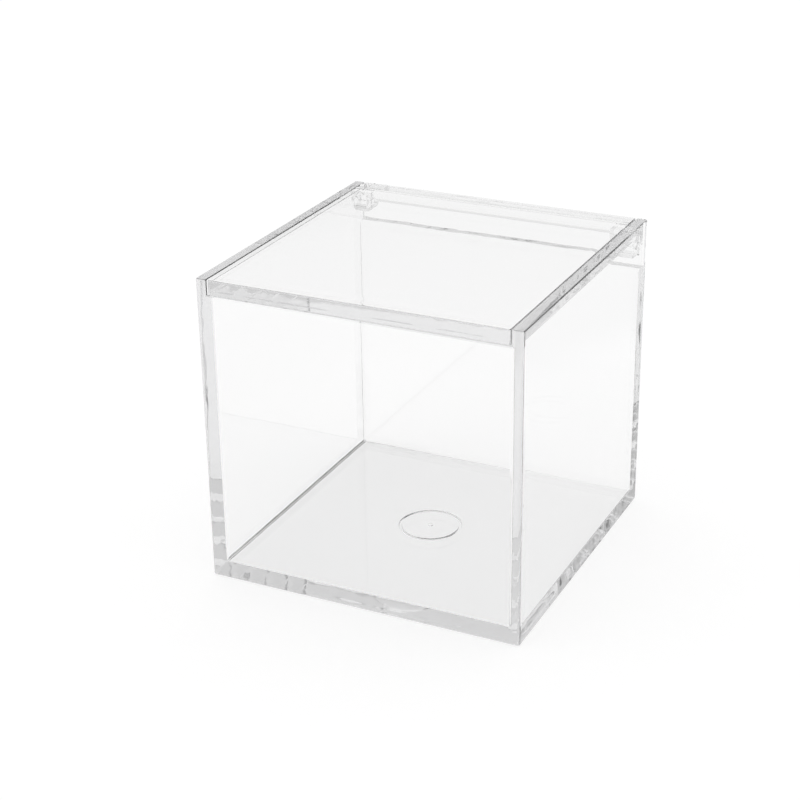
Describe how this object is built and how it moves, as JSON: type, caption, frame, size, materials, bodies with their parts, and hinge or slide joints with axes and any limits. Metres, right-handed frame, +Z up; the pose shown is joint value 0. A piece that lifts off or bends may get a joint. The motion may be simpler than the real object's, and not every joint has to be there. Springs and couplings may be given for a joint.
{
  "type": "hinged storage box",
  "caption": "Clear near-cube storage box. Its plate lid drops between the side walls and swings up on moulded pins at the back.",
  "frame": {"origin": "on the table, in the middle of the box's base, with the lid shut", "axes": "+Z up, X across the box from side wall to side wall, -Y towards the front, where the lid's free edge is, +Y towards the hinge"},
  "size_m": [0.1, 0.1, 0.0955],
  "materials": {
    "clear_body": "polished clear acrylic",
    "clear_lid": "polished clear acrylic"
  },
  "bodies": {
    "box": {"box_body": "clear_body"},
    "lid": {"lid": "clear_lid"}
  },
  "joints": [
    {"name": "lid_hinge", "type": "hinge", "parent": "box", "child": "lid", "pos_m": [0, 0.0435, 0.088], "axis": [-1, 0, 0], "range_deg": [0, 98]}
  ]
}
